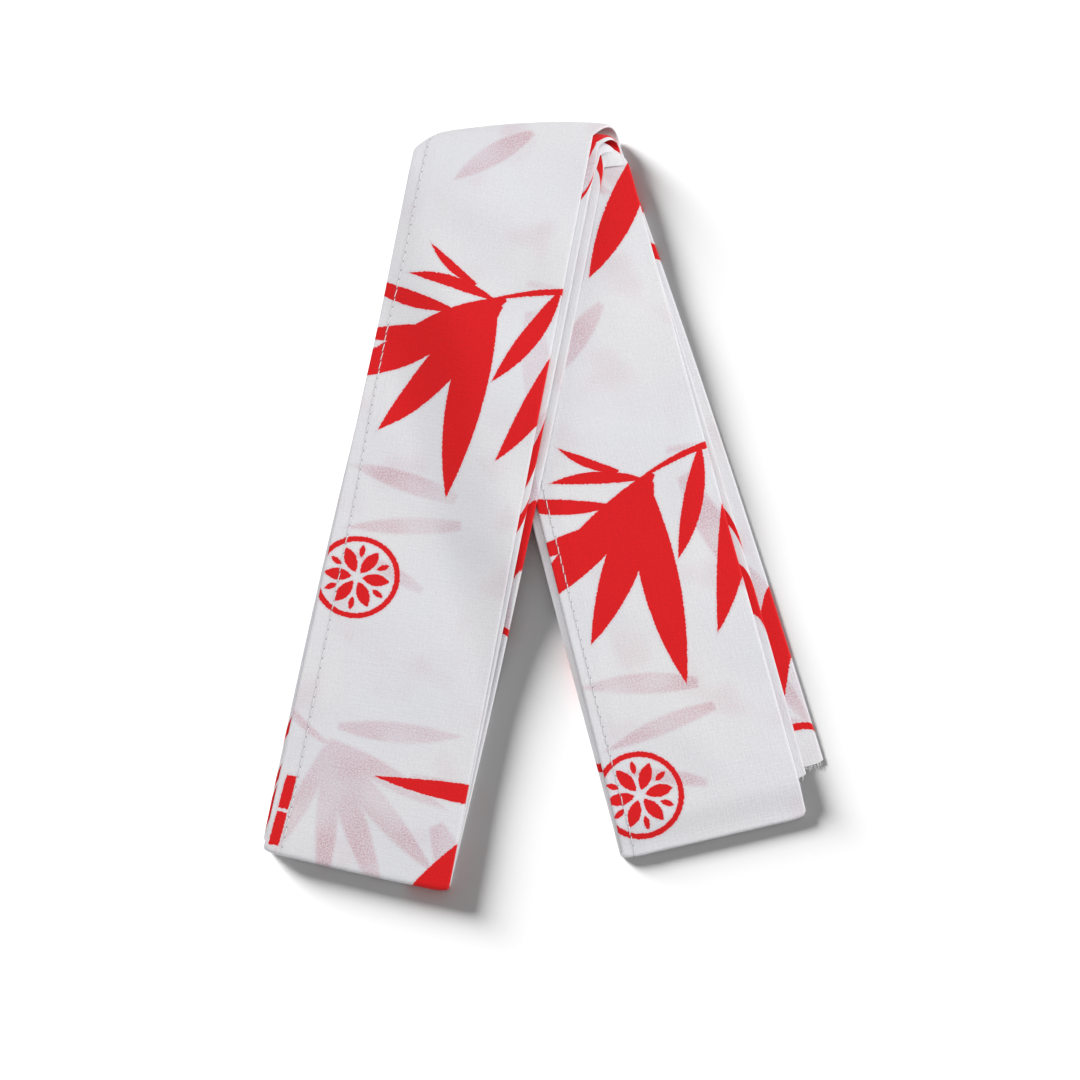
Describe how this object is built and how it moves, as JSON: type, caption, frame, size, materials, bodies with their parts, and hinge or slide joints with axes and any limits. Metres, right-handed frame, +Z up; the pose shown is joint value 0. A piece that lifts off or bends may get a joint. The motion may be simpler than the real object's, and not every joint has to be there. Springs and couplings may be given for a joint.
{
  "type": "folded tie belt of a short yukata",
  "caption": "Narrow self-fabric cotton tie belt, folded lengthwise and edge-stitched, folded into four runs and laid flat as an inverted V.",
  "frame": {"origin": "centre of the box around the folded belt, on the surface that it lies on", "axes": "+Z up from the surface, +Y from the two free ends towards the crease, +X from the upper arm towards the lower arm"},
  "size_m": [0.1644, 0.2464, 0.0101],
  "materials": {
    "printed_cotton": "white plain-weave cotton with a red print, matt",
    "white_thread": "white sewing thread and frayed yarn, matt"
  },
  "bodies": {
    "root": {"belt_outer_runs": "printed_cotton", "belt_inner_runs": "printed_cotton"}
  },
  "joints": []
}
